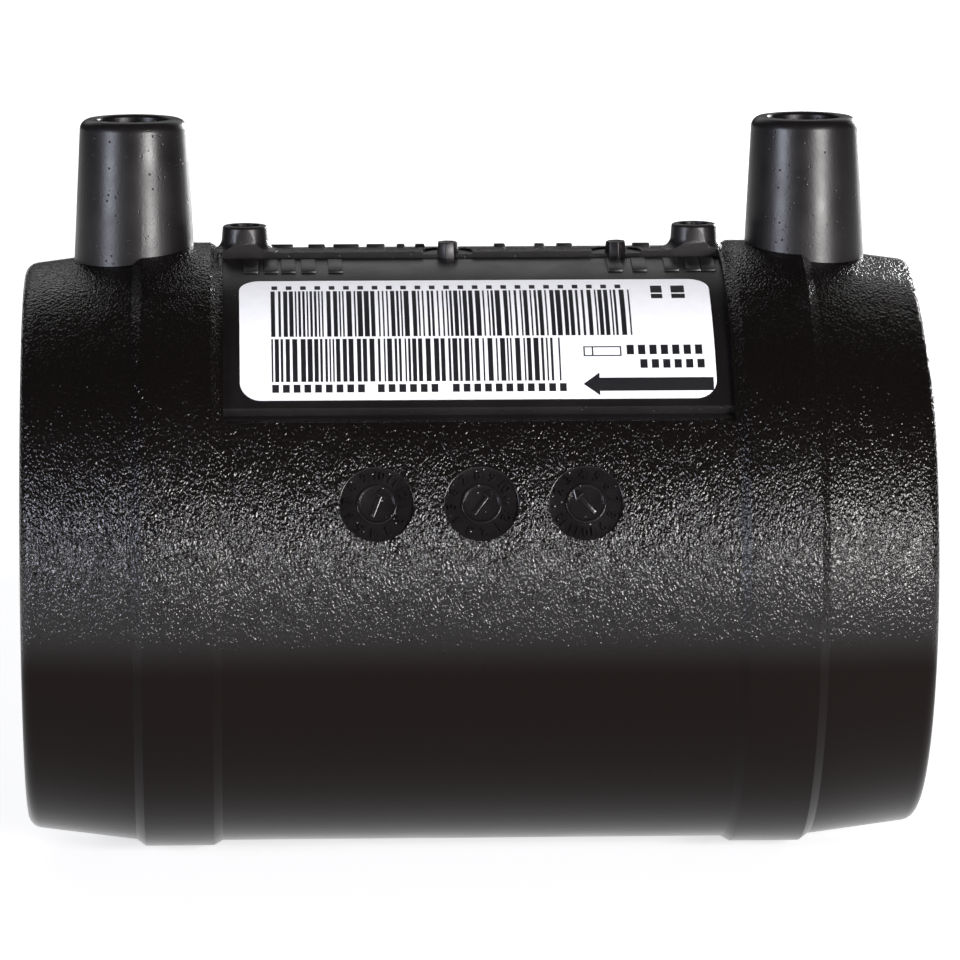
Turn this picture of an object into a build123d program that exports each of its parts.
from build123d import *
import math
import os

# Electrofusion coupler for two 63 mm polyethylene pipes, in millimetres.
# The bore runs along X, the terminals point up (+Z) and the label faces the front (-Y).
# The origin is on the bore axis, half way between the two mouths.

# main turned form
coupler_length = 120.0
bore_radius = 31.85          # 63 mm pipe with 0.35 mm of room all round
wall_thickness = 8.35        # between the bore and the barrel
band_height = 0.7            # how far each raised band stands proud of the barrel
band_from_mouth = 15.8       # from the mouth to the edge of a band's flat top
band_width = 9.2
band_slope_run = 1.2         # length of the sloped step on either side of a band
taper_angle = 7.5            # degrees, from the band to the mouth
taper_drop = 0.2             # the taper starts this much below the barrel
end_round = 2.0
lead_in_length = 1.5
lead_in_depth = 1.0
stop_width = 1.2             # thin break-out ring that both pipes butt against
stop_height = 2.0

# terminal shrouds, one over the outer end of each coil
shroud_from_mouth = 14.8
shroud_height = 17.1         # above the band
shroud_rim_radius = 7.15
shroud_foot_radius = 8.0     # where the shroud meets the band
shroud_rim_round = 1.4
shroud_well_radius = 4.75
shroud_well_depth = 14.5
shroud_root_depth = 4.0      # how deep the shroud's root runs into the wall

# terminal pins
pin_radius = 2.0
pin_below_rim = 3.2
pin_tip_chamfer = 0.4
pin_collar_radius = 2.9
pin_collar_height = 0.8
pin_anchor_radius = 3.1
pin_anchor_height = 1.5
pin_anchor_drop = 5.2        # from the floor of the well to the top of the anchor

# fusion indicators
indicator_from_shroud = 14.9
indicator_rise = 3.3         # above the barrel
indicator_tip_radius = 3.0
indicator_foot_radius = 5.0
indicator_flare = 1.6        # radius of the concave foot
indicator_sink = 0.4         # the foot's edge lies this much below the top line
indicator_draft = 0.25
indicator_well_radius = 2.05
indicator_well_depth = 8.0
indicator_edge_round = 0.35
stalk_radius = 1.35
stalk_recess = 1.4           # the stalk's tip below the rim before fusion

# label panel and label, as angles up from the front of the barrel
panel_from_band = 0.4        # plain strip between the panel and the foot of a band's slope
panel_depth = 0.8
panel_start_angle = 33.4
panel_end_angle = 86.0
label_side_margin = 2.2      # bare floor between the label and either end of the panel
label_start_angle = 37.8
label_end_angle = 71.4
label_corner_radius = 2.8
label_thickness = 0.15

# round date dials set into the front
dial_pitch = 13.6
dial_angle = 16.8
dial_radius = 4.9
dial_depth = 0.55

# gate marks on the top line
gate_places = (-3.1, 19.6)
gate_angle = 87.0
gate_pad_radius = 3.4
gate_pad_depth = 0.35
gate_nub_radius = 1.6
gate_nub_rise = 1.25         # above the barrel
gate_nub_round = 0.8

# heating wire and the recess in the bore that carries each coil
recess_depth = 1.1
recess_margin = 0.9          # the recess runs this much past either end of its coil
wire_width = 0.9
wire_depth = 0.85
wire_turns = 6
wire_segments = 24           # straight runs in one turn of the coil
wire_play = 0.02
coil_length = 30.0
link_size = 1.1              # square section of the buried link and leads
link_cover = 0.2             # wall left between the bore and the link

# dependants
half_length = coupler_length / 2
barrel_radius = bore_radius + wall_thickness
band_radius = barrel_radius + band_height
band_outer = half_length - band_from_mouth
band_inner = band_outer - band_width
taper_start = band_outer + band_slope_run
taper_start_radius = barrel_radius - taper_drop
mouth_radius = taper_start_radius - (half_length - taper_start) * math.tan(math.radians(taper_angle))
shroud_offset = half_length - shroud_from_mouth
shroud_top = band_radius + shroud_height
well_floor = shroud_top - shroud_well_depth
pin_tip = shroud_top - pin_below_rim
pin_anchor_top = well_floor - pin_anchor_drop
pin_foot = pin_anchor_top - pin_anchor_height
indicator_offset = shroud_offset - indicator_from_shroud
indicator_top = barrel_radius + indicator_rise
indicator_floor = indicator_top - indicator_well_depth
panel_radius = barrel_radius - panel_depth
panel_half_length = band_inner - band_slope_run - panel_from_band
label_width = 2 * (panel_half_length - label_side_margin)
coil_inner = shroud_offset - coil_length
recess_radius = bore_radius + recess_depth
recess_start = coil_inner - recess_margin
recess_end = shroud_offset + recess_margin
coil_back = recess_radius - wire_play
coil_front = coil_back - wire_depth
link_foot = bore_radius + link_cover
cut_margin = 2.0             # how far cutting shapes run past the surfaces they open
rim_steps = 2                # straight steps that stand for a rounded edge
shroud_rim_steps = 3


def turned(points):
    """A ring turned about the bore axis from (x, radius) corners."""
    outline = make_face(Plane.XZ * Polyline(points, close=True))
    return revolve(outline, axis=Axis.X)


def eased(before, corner, after, radius, steps):
    """Points that round one corner of an outline in a few straight steps."""
    place = Vector(*corner)
    back = (Vector(*before) - place).normalized()
    onward = (Vector(*after) - place).normalized()
    half_angle = math.radians(back.get_angle(onward)) / 2
    first = place + back * (radius / math.tan(half_angle))
    centre = place + (back + onward).normalized() * (radius / math.sin(half_angle))
    swing = 180 - 2 * math.degrees(half_angle)
    if back.cross(onward).Z > 0:
        swing = -swing
    spoke = first - centre
    turned_spokes = [spoke.rotate(Axis.Z, swing * step / steps) for step in range(steps + 1)]
    return [((centre + s).X, (centre + s).Y) for s in turned_spokes]


def upright(points, x):
    """A solid turned about a vertical axis at x from (radius, height) corners."""
    outline = make_face(Plane.XZ * Polyline(points, close=True))
    return Pos(x, 0, 0) * revolve(outline, axis=Axis.Z)


def facing_front(shape, angle):
    """Turn a shape that points up (+Z) until it points out of the front at this angle."""
    return Rot(90 - angle, 0, 0) * shape


def turned_shell():
    foot = (taper_start, taper_start_radius)
    rim = (half_length, mouth_radius)
    mouth = (half_length, bore_radius + lead_in_depth)
    half = [
        (0, barrel_radius),
        (band_inner - band_slope_run, barrel_radius),
        (band_inner, band_radius),
        (band_outer, band_radius),
        foot,
        *eased(foot, rim, mouth, end_round, rim_steps),
        mouth,
        (half_length - lead_in_length, bore_radius),
        (recess_end, bore_radius),
        (recess_end, recess_radius),
        (recess_start, recess_radius),
        (recess_start, bore_radius),
        (stop_width / 2, bore_radius),
        (stop_width / 2, bore_radius - stop_height),
    ]
    mirrored = [(-x, r) for x, r in reversed(half) if x > 0]
    return turned(half + mirrored)


def shroud(x):
    """Tall tapered tube that guards a terminal pin, with a rounded rim."""
    root = band_radius - shroud_root_depth
    slope = (shroud_foot_radius - shroud_rim_radius) / (shroud_top - band_radius)
    foot = (shroud_foot_radius + slope * shroud_root_depth, root)
    rim = (shroud_rim_radius, shroud_top)
    crown = (0, shroud_top)
    return upright([(0, root), foot, *eased(foot, rim, crown, shroud_rim_round, shroud_rim_steps), crown], x)


def shroud_well(x):
    return upright([
        (0, well_floor),
        (shroud_well_radius, well_floor),
        (shroud_well_radius, shroud_top + cut_margin),
        (0, shroud_top + cut_margin),
    ], x)


def terminal_pin(x):
    """Brass pin: anchor moulded into the wall, collar on the floor of the well."""
    return upright([
        (0, pin_foot),
        (pin_anchor_radius, pin_foot),
        (pin_anchor_radius, pin_anchor_top),
        (pin_radius, pin_anchor_top),
        (pin_radius, well_floor),
        (pin_collar_radius, well_floor),
        (pin_collar_radius, well_floor + pin_collar_height),
        (pin_radius, well_floor + pin_collar_height),
        (pin_radius, pin_tip - pin_tip_chamfer),
        (pin_radius - pin_tip_chamfer, pin_tip),
        (0, pin_tip),
    ], x)


def indicator_boss(x):
    """Short boss with a concave foot, which holds the fusion indicator."""
    neck = (indicator_tip_radius + indicator_draft, barrel_radius)
    skirt = (indicator_foot_radius + indicator_flare, barrel_radius)
    rim = (indicator_tip_radius, indicator_top)
    crown = (0, indicator_top)
    return upright([
        (0, indicator_floor),
        (indicator_foot_radius, indicator_floor),
        (indicator_foot_radius, barrel_radius - indicator_sink),
        *eased(skirt, neck, rim, indicator_flare, rim_steps),
        *eased(neck, rim, crown, indicator_edge_round, 1),
        crown,
    ], x)


def indicator_well(x):
    """Ring-shaped well that leaves the indicator stalk standing in its middle."""
    stalk_top = indicator_top - stalk_recess
    return upright([
        (stalk_radius, indicator_floor),
        (indicator_well_radius, indicator_floor),
        (indicator_well_radius, indicator_top + cut_margin),
        (0, indicator_top + cut_margin),
        (0, stalk_top),
        (stalk_radius, stalk_top),
    ], x)


def band_sector(inner, outer, half_width, start_angle, end_angle):
    """A piece of a ring about the bore, between two angles up from the front."""
    outline = make_face(Plane.XY * Polyline(
        (-half_width, -inner), (half_width, -inner), (half_width, -outer), (-half_width, -outer), close=True))
    sector = revolve(outline, axis=Axis.X, revolution_arc=-(end_angle - start_angle))
    return Rot(-start_angle, 0, 0) * sector


def panel_recess():
    return band_sector(panel_radius, band_radius + cut_margin, panel_half_length,
                       panel_start_angle, panel_end_angle)


def label():
    """Printed label, wrapped on the floor of the panel, with rounded corners."""
    sheet = band_sector(panel_radius, panel_radius + label_thickness, label_width / 2,
                        label_start_angle, label_end_angle)
    middle = (label_start_angle + label_end_angle) / 2
    spread = math.radians(label_end_angle - label_start_angle) / 2
    height = 2 * panel_radius * math.sin(spread)
    stamp = extrude(RectangleRounded(label_width, height, label_corner_radius), band_radius * 2)
    return sheet & facing_front(stamp, middle)


def date_dial(x):
    """Round flat-floored pocket that a date insert leaves in the front."""
    pocket = Cylinder(dial_radius, cut_margin, align=(Align.CENTER, Align.CENTER, Align.MIN))
    return facing_front(Pos(x, 0, barrel_radius - dial_depth) * pocket, dial_angle)


def gate_pad(x):
    pad = Cylinder(gate_pad_radius, cut_margin, align=(Align.CENTER, Align.CENTER, Align.MIN))
    return facing_front(Pos(x, 0, barrel_radius - gate_pad_depth) * pad, gate_angle)


def gate_nub(x):
    """Stub left where the sprue was cut off, a low dome on a short neck."""
    root = (gate_nub_radius, barrel_radius - cut_margin)
    rim = (gate_nub_radius, barrel_radius + gate_nub_rise)
    crown = (0, barrel_radius + gate_nub_rise)
    dome = upright([(0, barrel_radius - cut_margin), root, *eased(root, rim, crown, gate_nub_round, 1), crown], x)
    return facing_front(dome, gate_angle)


def coil(side):
    """One coil as short straight runs on a true helix, from under the terminal towards mid-length."""
    travel = shroud_offset - coil_inner
    steps = wire_turns * wire_segments
    along = Vector(wire_width / 2, 0, 0)
    sections = []
    for step in range(steps + 1):
        middle = Vector(side * (shroud_offset - travel * step / steps), 0, 0)
        turn = 2 * math.pi * step / wire_segments
        out = Vector(0, side * math.sin(turn), math.cos(turn))
        corners = [
            middle + out * coil_front - along,
            middle + out * coil_front + along,
            middle + out * coil_back + along,
            middle + out * coil_back - along,
        ]
        sections.append(Wire.make_polygon(corners, close=True))
    return Solid.make_loft(sections, ruled=True)


def buried_runs(play):
    """The straight parts in the wall: a link past the stop ring, and a lead up to each pin."""
    size = link_size + 2 * play
    link = Box(2 * coil_inner + size, size, size)
    runs = Pos(0, 0, link_foot + link_size / 2) * link
    for side in (-1, 1):
        lead = Box(size, size, pin_foot - link_foot, align=(Align.CENTER, Align.CENTER, Align.MIN))
        runs += Pos(side * shroud_offset, 0, link_foot) * lead
    return runs


def heating_wire():
    wire = buried_runs(0)
    for side in (-1, 1):
        wire += coil(side)
    return wire


def coupler_body():
    body = turned_shell()
    for side in (-1, 1):
        body += shroud(side * shroud_offset)
        body += indicator_boss(side * indicator_offset)
    body -= panel_recess()
    for x in gate_places:
        body -= gate_pad(x)
        body += gate_nub(x)
    for side in (-1, 0, 1):
        body -= date_dial(side * dial_pitch)
    for side in (-1, 1):
        body -= shroud_well(side * shroud_offset)
        body -= terminal_pin(side * shroud_offset)
        body -= indicator_well(side * indicator_offset)
    body -= buried_runs(wire_play)
    return body


os.makedirs("parts", exist_ok=True)
pieces = {
    "coupler_body": coupler_body(),
    "heating_wire": heating_wire(),
    "terminal_pin_left": terminal_pin(-shroud_offset),
    "terminal_pin_right": terminal_pin(shroud_offset),
    "barcode_label": label(),
}
for name, piece in pieces.items():
    export_step(piece, f"parts/{name}.step")
    print(name, round(piece.volume, 1))
